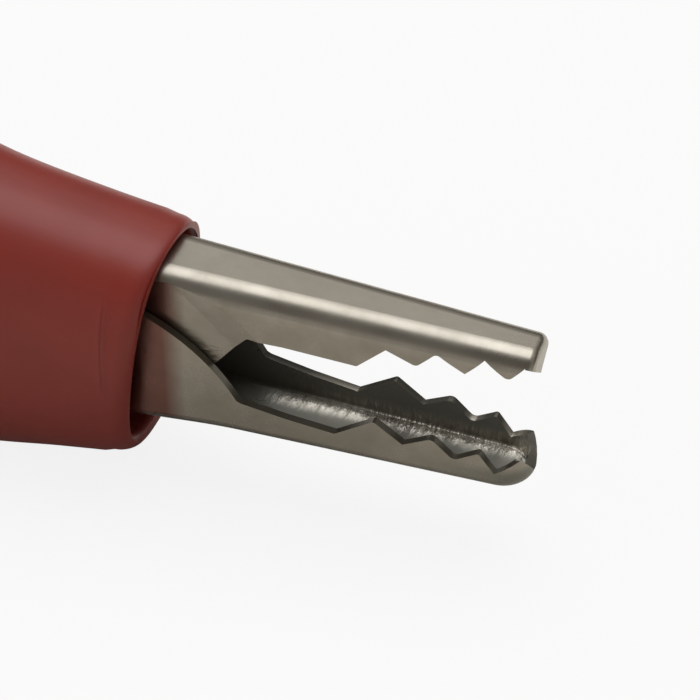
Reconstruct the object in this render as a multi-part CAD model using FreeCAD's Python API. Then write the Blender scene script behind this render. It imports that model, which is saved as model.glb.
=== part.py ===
import FreeCAD, Part
import math
import os

# Miniature crocodile clip, in millimetres. +X runs from the lead neck to the jaw tips and +Z is up.
# The sizes below are written in a working frame: X = 0 at the sleeve's mouth, Y = 0 on the middle
# plane and Z = 0 at the underside of the lower jaw. The last lines move every piece to the part's
# own origin, under the middle of the clip on the surface that it rests on. The pieces stand in the
# half-squeezed pose, with the jaws apart.

V = FreeCAD.Vector

# Sheet and running fits
sheet = 0.35
nest_gap = 0.05
rivet_gap = 0.04
reach = 40.0
overrun = 5.0

# Plan of both pressings
lower_tip_x = 15.70
upper_tip_x = 15.66
upper_nose_fold = 0.4
mouth_half_width = 1.852
jaw_taper = 0.033
ear_half_width = 2.25
flare_front_x = 3.5
flare_rear_x = -3.0
handle_end_half_width = 1.75
lever_end_half_width = 1.6

# Pivot
pivot_x = -4.0
pivot_z = 3.9
rivet_radius = 0.85
rivet_head_radius = 1.6
rivet_head_height = 0.55
closed_angle = 14.0

# Lower pressing: bends, ears and handle
lower_bend_radius = 0.55
ear_foot_x = 3.43
ear_foot_z = 1.85
ear_foot_bearing = 30.3
ear_arc_radius = 10.0
ear_top_z = 5.95
ear_shoulder = 2.0
ear_rear_x = -6.6
ear_corner = 1.6
lower_bend_x = -8.0
lower_handle_fall = 6.0
lower_handle_end_x = -21.5
lower_handle_wall = 2.6
wall_start_x = -9.5
handle_bend_radius = 6.0
handle_corner = 1.2

# Lower teeth: distance back from the tip, height above the jaw's underside, rounding
lower_teeth = ((0.34, 1.56, 0.3), (1.35, 0.86, 0.0), (2.03, 1.76, 0.12), (3.05, 1.15, 0.3),
               (3.99, 2.00, 0.3), (5.18, 1.39, 0.0), (6.42, 2.27, 0.12), (8.07, 1.20, 0.0),
               (10.17, 1.44, 1.0), (12.10, 1.76, 0.5))
notch_half_width = 1.0
notch_floor = 0.28

# Upper pressing: back, bends, ears and thumb lever
back_z = 7.48
back_fall = 0.0415
upper_bend_radius = 1.0
lever_bend_x = -6.0
lever_taper_x = -9.0
lever_hump_x = -13.0
lever_hump_z = 9.95
lever_end_x = -21.5
lever_end_z = 8.7
lever_bend_round = 3.0
lever_wall = 2.3
upper_ear_radius = 2.35
ear_slope_x = 1.75
ear_slope_z = 2.5
joggle_spread = 4.0
joggle_margin = 0.1

# Upper teeth: distance back from the tip, height above the lower jaw's underside, rounding
upper_teeth = ((0.35, 6.42, 0.0), (0.95, 5.81, 0.25), (1.95, 6.44, 0.0), (2.68, 5.70, 0.0),
               (3.87, 6.35, 0.25), (4.65, 5.58, 0.25), (5.89, 6.09, 0.0), (7.08, 4.98, 0.12),
               (10.18, 5.16, 0.6), (11.71, 5.15, 0.3))
nose_tooth_z = 5.42
nose_tooth_half_width = 1.25

# Torsion spring
wire_radius = 0.26
coil_radius = 1.45
coil_turns = 3
coil_half_width = 1.05
lower_leg_x = -12.0
upper_leg_x = -11.6
leg_gap = 0.04

# Terminal screw in the lower handle
screw_x = -17.0
screw_radius = 1.0
screw_head_radius = 1.4
screw_head_height = 1.0
screw_head_round = 0.3
screw_slot_width = 0.45
screw_slot_depth = 0.45
screw_below = 0.3
screw_gap = 0.04
screw_stand = 0.35
collar_height = 0.5
collar_wall = 0.4

# Sleeve: stations from the mouth to the neck as (X, middle Z, half height, half width, squareness)
sleeve_wall = 0.95
sleeve_stations = ((-0.45, 2.85, 5.35, 4.00, 2.4), (-4.0, 2.825, 5.925, 4.25, 2.35),
                   (-8.0, 2.875, 6.675, 4.60, 2.3), (-12.0, 3.40, 7.40, 4.85, 2.3),
                   (-16.0, 3.675, 7.625, 4.85, 2.3), (-20.0, 3.60, 7.10, 4.55, 2.25),
                   (-23.5, 3.15, 5.65, 3.75, 2.15), (-26.2, 2.10, 3.50, 2.85, 2.0))
mouth_tilt = 8.0
mouth_lift = 0.22
mouth_wall = 0.55
lip_round = 0.3
lip_flare = 0.25
lip_depth = 0.6
mouth_cut = 1.2
lip_steps = 3
hollow_squareness = 3.2
ring_points = 12
bands_between = 3
neck_x = -27.6
neck_z = 1.5
neck_end_x = -30.74
neck_radius = 2.4
neck_bore_radius = 1.5
bore_start_x = -25.6
rest_flat = 0.45


# General shapes

def xz(x, z, y=0.0):
    return V(x, y, z)


def prism_xz(wire, half=reach):
    """A side-view outline made solid across the clip's whole width."""
    face = Part.Face(wire)
    face.translate(V(0, -half, 0))
    return face.extrude(V(0, 2 * half, 0))


def corner_arc(before, corner, after, radius):
    """The arc that rounds one corner of an outline, no larger than its two runs allow."""
    to_before = before - corner
    to_after = after - corner
    half_turn = to_before.getAngle(to_after) / 2.0
    run = min(to_before.Length, to_after.Length) * 0.49
    trim = min(radius / math.tan(half_turn), run)
    start = corner + V(to_before).normalize() * trim
    end = corner + V(to_after).normalize() * trim
    bisector = (V(to_before).normalize() + V(to_after).normalize()).normalize()
    true_radius = trim * math.tan(half_turn)
    centre = corner + bisector * (true_radius / math.sin(half_turn))
    return start, centre - bisector * true_radius, end


def rounded_path(points, rounds):
    """Edges of an open outline through the points, with the named corners rounded."""
    edges = []
    here = points[0]
    for i in range(1, len(points) - 1):
        if rounds[i] > 0:
            start, middle, end = corner_arc(points[i - 1], points[i], points[i + 1], rounds[i])
            edges.append(Part.LineSegment(here, start).toShape())
            edges.append(Part.Arc(start, middle, end).toShape())
            here = end
        else:
            edges.append(Part.LineSegment(here, points[i]).toShape())
            here = points[i]
    edges.append(Part.LineSegment(here, points[-1]).toShape())
    return edges


def closed_by(edges, corners):
    """Close an open run of edges through further straight corners."""
    first = edges[0].Vertexes[0].Point
    last = edges[-1].Vertexes[-1].Point
    chain = [last] + list(corners) + [first]
    closing = [Part.LineSegment(a, b).toShape() for a, b in zip(chain, chain[1:])]
    return Part.Wire(Part.__sortEdges__(list(edges) + closing))


def about_pivot(point, degrees):
    """Where a point of the side view lands when the clip's upper half turns about the rivet."""
    turn = math.radians(degrees)
    dx = point.x - pivot_x
    dz = point.z - pivot_z
    x = pivot_x + dx * math.cos(turn) - dz * math.sin(turn)
    z = pivot_z + dx * math.sin(turn) + dz * math.cos(turn)
    return xz(x, z)


# Plan outlines of the two pressings

def taper_half_width(x):
    return mouth_half_width - jaw_taper * x


def full_nose_radius(tip):
    """Radius of the half-round nose that is tangent to both tapering sides."""
    return taper_half_width(tip) / (math.hypot(1.0, jaw_taper) - jaw_taper)


def round_nose(inset):
    """Half of the lower jaw's half-round nose, in plan: its curves, and where the side starts."""
    radius = full_nose_radius(lower_tip_x)
    centre_x = lower_tip_x - radius
    lean = math.atan(jaw_taper)
    bow = math.radians(45) + lean / 2.0
    bearings = (math.radians(90), bow, lean)
    front, middle, shoulder = [V(centre_x + (radius - inset) * math.sin(b),
                                 (radius - inset) * math.cos(b) if b < 1.5 else 0.0, 0) for b in bearings]
    return [Part.Arc(front, middle, shoulder).toShape()], shoulder


def square_nose(inset):
    """The upper jaw's flat front, in plan: no curve, and where the side starts."""
    front_x = upper_tip_x - inset
    return [], V(front_x, taper_half_width(front_x) - inset, 0)


def plan_face(nose, flare, inset, tail):
    """Plan of a jaw and its handle. flare is the list of side curves behind the taper."""
    side, shoulder = nose(inset)
    front = side[0].Vertexes[0].Point if side else shoulder
    side = side + [Part.LineSegment(shoulder, flare[0].value(flare[0].FirstParameter)).toShape()]
    side += [curve.toShape() for curve in flare]
    last = flare[-1].value(flare[-1].LastParameter)
    if tail > 0:
        onward = last - flare[-1].value(flare[-1].FirstParameter)
        side[-1] = Part.LineSegment(last - onward, last + onward * (tail / abs(onward.x))).toShape()
        last = last + onward * (tail / abs(onward.x))
    far = [edge.mirror(V(0, 0, 0), V(0, 1, 0)) for edge in side]
    ends = [Part.LineSegment(last, V(last.x, -last.y, 0)).toShape()]
    if front.y > 1e-6:
        ends.append(Part.LineSegment(front, V(front.x, -front.y, 0)).toShape())
    return Part.Face(Part.Wire(Part.__sortEdges__(side + far + ends)))


def s_curve(front_x, front_y, rear_x, rear_y):
    """A smooth S from the jaw's taper out to the straight ears."""
    pull = 0.36 * (front_x - rear_x)
    curve = Part.BezierCurve()
    curve.setPoles([V(front_x, front_y, 0), V(front_x - pull, front_y + jaw_taper * pull, 0),
                    V(rear_x + pull * 1.2, rear_y, 0), V(rear_x, rear_y, 0)])
    return curve


def lower_flare(inset):
    """Side curves of the lower pressing, whose ears spread to take the upper ears between them."""
    wide = ear_half_width - inset
    return [s_curve(flare_front_x, taper_half_width(flare_front_x) - inset, flare_rear_x, wide),
            Part.LineSegment(V(flare_rear_x, wide, 0), V(wall_start_x, wide, 0)),
            Part.LineSegment(V(wall_start_x, wide, 0),
                             V(lower_handle_end_x, handle_end_half_width - inset, 0))]


def upper_flare(inset):
    """Side curves of the upper pressing's back, which runs straight on to the lever."""
    inner = ear_half_width - sheet - nest_gap - inset
    return [s_curve(0.0, mouth_half_width - inset, flare_rear_x, inner),
            Part.LineSegment(V(flare_rear_x, inner, 0), V(lever_taper_x, inner, 0)),
            Part.LineSegment(V(lever_taper_x, inner, 0),
                             V(lever_end_x, lever_end_half_width - inset, 0))]


def upright(face, low=-reach, high=reach):
    solid = face.extrude(V(0, 0, high - low))
    solid.translate(V(0, 0, low))
    return solid


def across(edge):
    """True for a straight edge that runs across the clip from side to side."""
    ends = [v.Point for v in edge.Vertexes]
    return len(ends) == 2 and abs(ends[0].x - ends[1].x) < 1e-6 and abs(ends[0].z - ends[1].z) < 1e-6


# Lower pressing

def lower_floor_points(inset):
    fall = math.radians(lower_handle_fall)
    knee = xz(lower_bend_x, inset) - xz(inset * math.tan(fall / 2.0), 0)
    return [xz(lower_tip_x + overrun, inset), knee,
            knee - xz(reach * math.cos(fall), reach * math.sin(fall))]


def lower_block(inset):
    """The lower pressing's outer block, or with an inset the space inside it."""
    block = upright(plan_face(round_nose, lower_flare(inset), inset, overrun if inset else 0.0))
    path = rounded_path(lower_floor_points(inset), [0, handle_bend_radius + inset, 0])
    keep = prism_xz(closed_by(path, [xz(lower_bend_x - reach, reach), xz(lower_tip_x + overrun, reach)]))
    return fold_rounded(block.common(keep), lower_bend_radius - inset, False)


def fold_rounded(block, radius, top):
    """Round the edges where a block's back (top) or floor meets its sides and nose."""
    chosen = []
    for face in block.Faces:
        u0, u1, v0, v1 = face.ParameterRange
        normal = face.normalAt((u0 + u1) / 2.0, (v0 + v1) / 2.0)
        if (normal.z > 0.5) if top else (normal.z < -0.5):
            if face.BoundBox.ZMax < reach - 1 and face.BoundBox.ZMin > 1 - reach:
                chosen += [e for e in face.Edges if not across(e)]
    unique = []
    for edge in chosen:
        if not any(edge.isSame(other) for other in unique):
            unique.append(edge)
    return block.makeFillet(radius, unique)


def handle_line(x, above):
    """Height of a line that runs along the lower handle, above its outer face."""
    fall = math.radians(lower_handle_fall)
    return above / math.cos(fall) - (lower_bend_x - x) * math.tan(fall)


def arc_about(x, z, radius, start, finish):
    """An arc of the side view about (x, z), its two ends given as bearings in radians."""
    bearings = (start, (start + finish) / 2.0, finish)
    ends = [xz(x + radius * math.cos(b), z + radius * math.sin(b)) for b in bearings]
    return Part.Arc(*ends).toShape(), ends[0], ends[2]


def ear_arc_centre():
    """Centre of the long arc of the lower ear's front edge, set back from the ear's foot."""
    bearing = math.radians(ear_foot_bearing)
    return xz(ear_foot_x - ear_arc_radius * math.cos(bearing),
              ear_foot_z - ear_arc_radius * math.sin(bearing))


def ear_front():
    """The lower ear's front edge: a long arc that a tighter one carries on to the flat top."""
    centre = ear_arc_centre()
    foot = math.radians(ear_foot_bearing)
    shoulder_z = ear_top_z - ear_shoulder
    shoulder = math.asin((shoulder_z - centre.z) / (ear_arc_radius - ear_shoulder))
    shoulder_x = centre.x + (ear_arc_radius - ear_shoulder) * math.cos(shoulder)
    long_arc, low, _ = arc_about(centre.x, centre.z, ear_arc_radius, foot, shoulder)
    top_arc, _, top = arc_about(shoulder_x, shoulder_z, ear_shoulder, shoulder, math.pi / 2)
    return [long_arc, top_arc], low, top


def lower_edge():
    """Side view of the lower pressing's upper edge: teeth, throat, ear and handle wall."""
    teeth = [xz(lower_tip_x - back, height) for back, height, _ in lower_teeth]
    rounds = [rounding for _, _, rounding in lower_teeth]
    ear, foot, top = ear_front()
    front = [xz(lower_tip_x + overrun, teeth[0].z - 1)] + teeth + [foot]
    path = rounded_path(front, [0] + rounds + [0]) + ear
    back = [top, xz(ear_rear_x, top.z), xz(wall_start_x, handle_line(wall_start_x, lower_handle_wall)),
            xz(lower_handle_end_x - 1, handle_line(lower_handle_end_x - 1, lower_handle_wall))]
    return path + rounded_path(back, [0, ear_corner, handle_bend_radius / 3, 0])


def lower_jaw():
    low = -reach
    outline = closed_by(lower_edge(), [xz(lower_handle_end_x - 1, low), xz(lower_tip_x + overrun, low)])
    jaw = lower_block(0).cut(lower_block(sheet)).common(prism_xz(outline))
    jaw = jaw.cut(nose_notch()).cut(handle_end_corners())
    floor = screw_seat()
    collar = Part.makeCylinder(screw_radius + screw_gap + collar_wall, sheet + collar_height,
                               floor, screw_axis() * -1)
    jaw = jaw.fuse(collar)
    hole = Part.makeCylinder(screw_radius + screw_gap, 8, floor + screw_axis() * 4, screw_axis() * -1)
    pin = Part.makeCylinder(rivet_radius + rivet_gap / 2, 2 * reach, xz(pivot_x, pivot_z, -reach),
                            V(0, 1, 0))
    return jaw.cut(hole).cut(pin).removeSplitter()


def nose_notch():
    """The V in the lower jaw's front wall that takes the upper jaw's middle tooth."""
    crest = lower_teeth[0][1]
    spread = (reach - notch_floor) / (crest - notch_floor) * notch_half_width
    corners = [V(0, 0, notch_floor), V(0, spread, reach), V(0, -spread, reach), V(0, 0, notch_floor)]
    face = Part.Face(Part.makePolygon(corners))
    face.translate(V(lower_tip_x - lower_teeth[0][0] - lower_teeth[0][2], 0, 0))
    return face.extrude(V(overrun, 0, 0))


def handle_end_corners():
    """Cuts the two lower corners off the walls at the handle's end."""
    end_z = handle_line(lower_handle_end_x, lower_handle_wall)
    corners = [xz(lower_handle_end_x - 1, end_z - handle_corner - 1),
               xz(lower_handle_end_x + handle_corner + 1, end_z + 1),
               xz(lower_handle_end_x - 1, end_z + 1)]
    return prism_xz(Part.makePolygon(corners + corners[:1]))


# Upper pressing

def back_height(x):
    return back_z - back_fall * x


def upper_back_points(inset):
    """Side view of the upper pressing's back, from the nose to the end of the thumb lever."""
    rise = math.atan2(lever_hump_z - back_height(lever_bend_x), lever_bend_x - lever_hump_x)
    drop = math.atan2(lever_hump_z - lever_end_z, lever_hump_x - lever_end_x)
    front = inset
    knee = inset * math.tan(rise / 2.0)
    hump = inset * math.tan((rise + drop) / 2.0 - drop)
    return [xz(upper_tip_x + overrun, back_height(upper_tip_x + overrun) - front),
            xz(lever_bend_x + knee, back_height(lever_bend_x) - front),
            xz(lever_hump_x + hump, lever_hump_z - inset / math.cos((rise + drop) / 2.0)),
            xz(lever_end_x - overrun, lever_end_z - inset - overrun * math.tan(drop))]


def upper_block(inset):
    """The upper pressing's outer block, or with an inset the space inside it."""
    tail = overrun if inset else 0.0
    block = upright(plan_face(square_nose, upper_flare(inset), inset, tail))
    bends = [0, lever_bend_round + inset, lever_bend_round - inset, 0]
    path = rounded_path(upper_back_points(inset), bends)
    keep = prism_xz(closed_by(path, [xz(lever_end_x - overrun, -reach), xz(upper_tip_x + overrun, -reach)]))
    folded = fold_rounded(block.common(keep), upper_bend_radius - inset, True)
    front = [face for face in folded.Faces if face.BoundBox.XMin > upper_tip_x - inset - 1e-4][0]
    rim = [edge for edge in front.Edges if edge.BoundBox.ZMax > 1 - reach]
    return folded.makeFillet(upper_nose_fold - inset, rim)


def joggled(inset):
    """The upper block with its sides pressed in where the lower ears pass outside them."""
    squeeze = sheet + nest_gap + inset
    narrow = upright(plan_face(round_nose, lower_flare(squeeze), squeeze, overrun))
    centre = about_pivot(ear_arc_centre(), closed_angle)
    foot_y = taper_half_width(flare_front_x) - sheet - nest_gap
    start = ear_arc_radius + joggle_margin + inset * math.hypot(1.0, joggle_spread)
    low_y = foot_y - 1.2
    high_y = foot_y + 2.0
    cone = Part.makeCone(start + (low_y - foot_y) * joggle_spread,
                         start + (high_y - foot_y) * joggle_spread,
                         high_y - low_y, xz(centre.x, centre.z, low_y), V(0, 1, 0))
    both = cone.fuse(cone.mirror(V(0, 0, 0), V(0, 1, 0)))
    ahead = Part.makeBox(reach, reach, 2 * reach, V(lever_bend_x, -reach / 2, -reach))
    return upper_block(inset).cut(both.common(ahead).cut(narrow))


def upper_edge():
    """Side view of the upper pressing's lower edge: teeth, throat, ear and lever wall."""
    teeth = [xz(upper_tip_x - back, height) for back, height, _ in upper_teeth]
    rounds = [rounding for _, _, rounding in upper_teeth]
    below = nose_tooth_z - 1
    front = [xz(upper_tip_x + overrun, below), xz(teeth[0].x, below)] + teeth
    ear = xz(ear_slope_x, ear_slope_z)
    bottom_front = xz(pivot_x + upper_ear_radius * 0.8, pivot_z - upper_ear_radius)
    bottom_rear = xz(pivot_x - upper_ear_radius, pivot_z - upper_ear_radius)
    rear = xz(pivot_x - upper_ear_radius - 1.0, back_height(lever_bend_x) - lever_wall + 1.0)
    hump = xz(lever_hump_x, lever_hump_z - lever_wall)
    end = xz(lever_end_x - overrun, lever_end_z - lever_wall - 0.6)
    points = front + [ear, bottom_front, bottom_rear, rear, hump, end]
    return rounded_path(points, [0, 0] + rounds + [0.8, 1.5, 1.6, 2.0, lever_bend_round, 0])


def nose_tooth_cut():
    """What is cut from the upper jaw's front wall to leave its pointed middle tooth."""
    valley = upper_teeth[0]
    corners = [V(0, -4, valley[1]), V(0, -nose_tooth_half_width, valley[1]), V(0, 0, nose_tooth_z),
               V(0, nose_tooth_half_width, valley[1]), V(0, 4, valley[1]), V(0, 4, 0), V(0, -4, 0)]
    face = Part.Face(Part.makePolygon(corners + corners[:1]))
    face.translate(V(upper_tip_x - valley[0], 0, 0))
    return face.extrude(V(overrun, 0, 0))


def upper_jaw():
    outline = closed_by(upper_edge(), [xz(lever_end_x - overrun, reach), xz(upper_tip_x + overrun, reach)])
    jaw = joggled(0).cut(joggled(sheet)).common(prism_xz(outline)).cut(nose_tooth_cut())
    pin = Part.makeCylinder(rivet_radius + rivet_gap, 2 * reach, xz(pivot_x, pivot_z, -reach),
                            V(0, 1, 0))
    return jaw.cut(pin).removeSplitter()


# Rivet, spring and screw

def dome(radius, height):
    """A shallow domed head that stands on the plane Y = 0 and rises along +Y."""
    ball = (radius ** 2 + height ** 2) / (2 * height)
    sphere = Part.makeSphere(ball, V(0, height - ball, 0))
    return sphere.common(Part.makeCylinder(radius * 1.01, height, V(0, 0, 0), V(0, 1, 0)))


def pivot_rivet():
    shank = Part.makeCylinder(rivet_radius, 2 * ear_half_width, V(0, -ear_half_width, 0), V(0, 1, 0))
    head = dome(rivet_head_radius, rivet_head_height)
    head.translate(V(0, ear_half_width + rivet_gap / 2, 0))
    neck = Part.makeCylinder(rivet_radius, 2 * (ear_half_width + rivet_gap),
                             V(0, -ear_half_width - rivet_gap, 0), V(0, 1, 0))
    rivet = shank.fuse([neck, head, head.mirror(V(0, 0, 0), V(0, 1, 0))]).removeSplitter()
    rivet.translate(xz(pivot_x, pivot_z))
    return rivet


def tangent_angle(leg_end, side):
    """Angle round the coil at which a straight leg to leg_end leaves it."""
    away = xz(leg_end.x - pivot_x, leg_end.z - pivot_z)
    bearing = math.atan2(away.z, away.x)
    return bearing + side * math.acos(coil_radius / away.Length)


def on_coil(angle, y):
    """Point of the coil's middle line at an angle round the rivet."""
    return xz(pivot_x + coil_radius * math.cos(angle), pivot_z + coil_radius * math.sin(angle), y)


def torsion_spring():
    """The spring's wire: a leg, half-turns that each lean a little across the clip, and a leg."""
    lower_end = xz(lower_leg_x, handle_line(lower_leg_x, sheet) + wire_radius + leg_gap, -coil_half_width)
    lever_slope = (lever_hump_z - back_height(lever_bend_x)) / (lever_bend_x - lever_hump_x)
    roof = lever_hump_z - (upper_leg_x - lever_hump_x) * lever_slope
    upper_end = xz(upper_leg_x, roof - sheet * 1.1 - wire_radius * 1.1 - leg_gap * 3, coil_half_width)
    start = tangent_angle(lower_end, 1)
    finish = tangent_angle(upper_end, -1)
    climb = coil_half_width / coil_turns
    here = on_coil(start, -coil_half_width)
    path = [Part.LineSegment(lower_end, here).toShape()]
    for half_turn in range(2 * coil_turns):
        angle = start + math.pi * half_turn
        there = on_coil(angle + math.pi, here.y + climb)
        outward = xz(math.cos(angle + math.pi / 2), math.sin(angle + math.pi / 2))
        crest = (here + there) * 0.5 + outward * ((there - here).Length / 2.0)
        path.append(Part.Arc(here, crest, there).toShape())
        here = there
    last = on_coil(finish, coil_half_width)
    path.append(Part.Arc(here, on_coil((start + finish) / 2.0, coil_half_width), last).toShape())
    path.append(Part.LineSegment(last, upper_end).toShape())
    section = Part.Wire(Part.Circle(lower_end, lower_end - on_coil(start, -coil_half_width),
                                    wire_radius).toShape())
    return Part.Wire(path).makePipe(Part.Face(section))


def screw_axis():
    """Upright of the sloping handle floor, which the screw stands on."""
    fall = math.radians(lower_handle_fall)
    return V(-math.sin(fall), 0, math.cos(fall))


def screw_seat():
    """Middle of the screw's hole on the handle floor's inner face."""
    return xz(screw_x, handle_line(screw_x, sheet))


def terminal_screw():
    axis = screw_axis()
    under_head = screw_seat() + axis * screw_stand
    length = screw_stand + sheet + collar_height + screw_below
    shank = Part.makeCylinder(screw_radius, length, under_head, axis * -1)
    head = Part.makeCylinder(screw_head_radius, screw_head_height, under_head, axis)
    rim = [edge for edge in head.Edges if edge.Closed and edge.CenterOfMass.z > under_head.z + 0.5]
    head = head.makeFillet(screw_head_round, rim)
    slot = Part.makeBox(4 * screw_head_radius, screw_slot_width, screw_slot_depth * 2,
                        V(-2 * screw_head_radius, -screw_slot_width / 2, 0))
    slot.rotate(V(0, 0, 0), V(0, 1, 0), -lower_handle_fall)
    slot.translate(under_head + axis * (screw_head_height - screw_slot_depth))
    return shank.fuse(head).cut(slot).removeSplitter()


# Sleeve

def ring(x, z, half_height, half_width, squareness, tilt):
    """One closed section of the sleeve, a superellipse that may lean forward at its top."""
    lean = math.tan(math.radians(tilt))
    points = []
    for i in range(ring_points):
        angle = 2 * math.pi * i / ring_points
        c = math.cos(angle)
        s = math.sin(angle)
        swell = (abs(c) ** squareness + abs(s) ** squareness) ** (-1.0 / squareness)
        dz = half_height * s * swell
        points.append(V(x + dz * lean, half_width * c * swell, z + dz))
    knots = [i / ring_points for i in range(ring_points + 1)]
    curve = Part.BSplineCurve()
    curve.interpolate(points, PeriodicFlag=True, Parameters=knots)
    return Part.Wire(curve.toShape())


def station_tilt(x):
    """Lean of a section: full at the mouth and none from the belly back."""
    mouth_x = sleeve_stations[0][0]
    belly_x = sleeve_stations[3][0]
    return mouth_tilt * max(0.0, (x - belly_x) / (mouth_x - belly_x))


def smooth_stations(shrink):
    """The stations with more between them, each size on a smooth curve through its column."""
    neck = (neck_x, neck_z, neck_radius, neck_radius, 2.0)
    rows = list(sleeve_stations) + [neck]
    smooth = []
    for i in range(len(rows) - 1):
        around = [rows[max(i - 1, 0)], rows[i], rows[i + 1], rows[min(i + 2, len(rows) - 1)]]
        for part in range(bands_between):
            t = part / bands_between
            weights = [(-t + 2 * t ** 2 - t ** 3) / 2, (2 - 5 * t ** 2 + 3 * t ** 3) / 2,
                       (t + 4 * t ** 2 - 3 * t ** 3) / 2, (t ** 3 - t ** 2) / 2]
            row = [sum(w * other[k] for w, other in zip(weights, around)) for k in range(5)]
            smooth.append((row[0], row[1], row[2] - shrink, row[3] - shrink, row[4]))
    return smooth


def sleeve_body():
    x, z, half_height, half_width, squareness = sleeve_stations[0]
    rings = []
    for step in range(lip_steps):
        turn = math.radians(90.0 * step / lip_steps)
        back = lip_round * (1 - math.cos(turn))
        shrink = lip_round * (1 - math.sin(turn))
        rings.append(ring(x - back, z, half_height - shrink, half_width - shrink, squareness, mouth_tilt))
    for x, z, half_height, half_width, squareness in smooth_stations(0.0)[1:]:
        rings.append(ring(x, z, half_height, half_width, squareness, station_tilt(x)))
    for x in (neck_x, neck_end_x):
        rings.append(ring(x, neck_z, neck_radius, neck_radius, 2.0, 0.0))
    return Part.makeLoft(rings, True, True)


def sleeve_hollow():
    x, z, half_height, half_width, _ = sleeve_stations[0]
    middle = z + mouth_lift
    open_height = half_height - mouth_wall - mouth_lift
    open_width = half_width - sleeve_wall
    lip = []
    for ahead, flare in ((mouth_cut, 2 * lip_flare), (-lip_depth, 0.0)):
        lip.append(ring(x + ahead, middle, open_height + flare, open_width + flare,
                        hollow_squareness, mouth_tilt))
    rings = [ring(x + ahead, middle, open_height, open_width, hollow_squareness, mouth_tilt)
             for ahead in (mouth_cut, -lip_depth)]
    for x, z, half_height, half_width, _ in smooth_stations(sleeve_wall)[1:]:
        if bore_start_x < x <= sleeve_stations[1][0]:
            rings.append(ring(x, z, half_height, half_width, hollow_squareness, station_tilt(x)))
    rings.append(ring(bore_start_x, neck_z, neck_bore_radius + 0.5, neck_bore_radius + 0.25, 2.0, 0.0))
    cavity = Part.makeLoft(rings, True, True)
    bore = Part.makeCylinder(neck_bore_radius, bore_start_x - neck_end_x + 2.5, xz(neck_end_x - 1, neck_z),
                             V(1, 0, 0))
    return cavity.fuse([bore, Part.makeLoft(lip, True, True)])


def sleeve_bottom():
    """Lowest height of the sleeve's belly, with the small flat that it rests on taken off."""
    return min(z - half_height for _, z, half_height, _, _ in sleeve_stations) + rest_flat


def insulating_boot():
    floor = Part.makeBox(4 * reach, 4 * reach, reach, V(-2 * reach, -2 * reach, sleeve_bottom() - reach))
    return sleeve_body().cut(sleeve_hollow()).cut(floor)


# The pieces, moved to the part's own origin

pieces = {
    "lower_jaw": lower_jaw,
    "upper_jaw": upper_jaw,
    "pivot_rivet": pivot_rivet,
    "torsion_spring": torsion_spring,
    "terminal_screw": terminal_screw,
    "insulating_boot": insulating_boot,
}

origin = V(-(max(lower_tip_x, upper_tip_x) + neck_end_x) / 2.0, 0, -sleeve_bottom())
os.makedirs("parts", exist_ok=True)
for name, make in pieces.items():
    solid = make()
    solid.translate(origin)
    solid.exportStep("parts/" + name + ".step")
    box = solid.BoundBox
    print(name, "solids", len(solid.Solids), "valid", solid.isValid(), "volume", round(solid.Volume, 2),
          "x", round(box.XMin, 3), round(box.XMax, 3), "y", round(box.YMin, 3), round(box.YMax, 3),
          "z", round(box.ZMin, 3), round(box.ZMax, 3))
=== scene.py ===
import logging
import math
from dataclasses import dataclass
from enum import Enum
from typing import Iterable, Optional, Sequence, Union

import bpy
from mathutils import Matrix, Vector


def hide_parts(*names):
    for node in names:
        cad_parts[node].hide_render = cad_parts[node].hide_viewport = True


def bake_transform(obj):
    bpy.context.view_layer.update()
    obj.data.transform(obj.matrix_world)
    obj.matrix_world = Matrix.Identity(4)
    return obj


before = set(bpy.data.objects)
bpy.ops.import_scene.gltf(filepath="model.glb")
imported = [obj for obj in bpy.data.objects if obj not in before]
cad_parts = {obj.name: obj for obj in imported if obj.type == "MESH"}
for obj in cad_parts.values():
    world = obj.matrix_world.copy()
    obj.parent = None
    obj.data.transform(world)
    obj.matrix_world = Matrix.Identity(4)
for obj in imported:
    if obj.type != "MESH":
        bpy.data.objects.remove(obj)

log = logging.getLogger("crocodile_clip")

MM = 0.001
WHITE = (1.0, 1.0, 1.0)
ROUND = 2.0  # the squareness of a true circle or ellipse
MIX_SHARE, MIX_FIRST, MIX_SECOND, MIX_RESULT = 0, 6, 7, 2  # the Mix node's colour sockets
Value = Union[float, bpy.types.NodeSocket]
Pair = tuple[float, float]
Triple = tuple[float, float, float]
Colour = Triple


class Body(str, Enum):
    """The two rigid groups that the soft pieces stretch between, by their names in the frame."""

    LOWER = "lower"
    UPPER = "upper"


class Node(str, Enum):
    """The clip's pieces, by their names in the frame."""

    BOOT = "insulating_boot"
    LOWER_JAW = "lower_jaw"
    UPPER_JAW = "upper_jaw"
    RIVET = "pivot_rivet"
    SPRING = "torsion_spring"
    SCREW = "terminal_screw"


class Slot(str, Enum):
    """The record's material slots."""

    SLEEVE = "sleeve"
    SHEET = "plated_sheet"
    RIVET = "rivet_steel"
    WIRE = "spring_wire"
    BRASS = "screw_brass"


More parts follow.
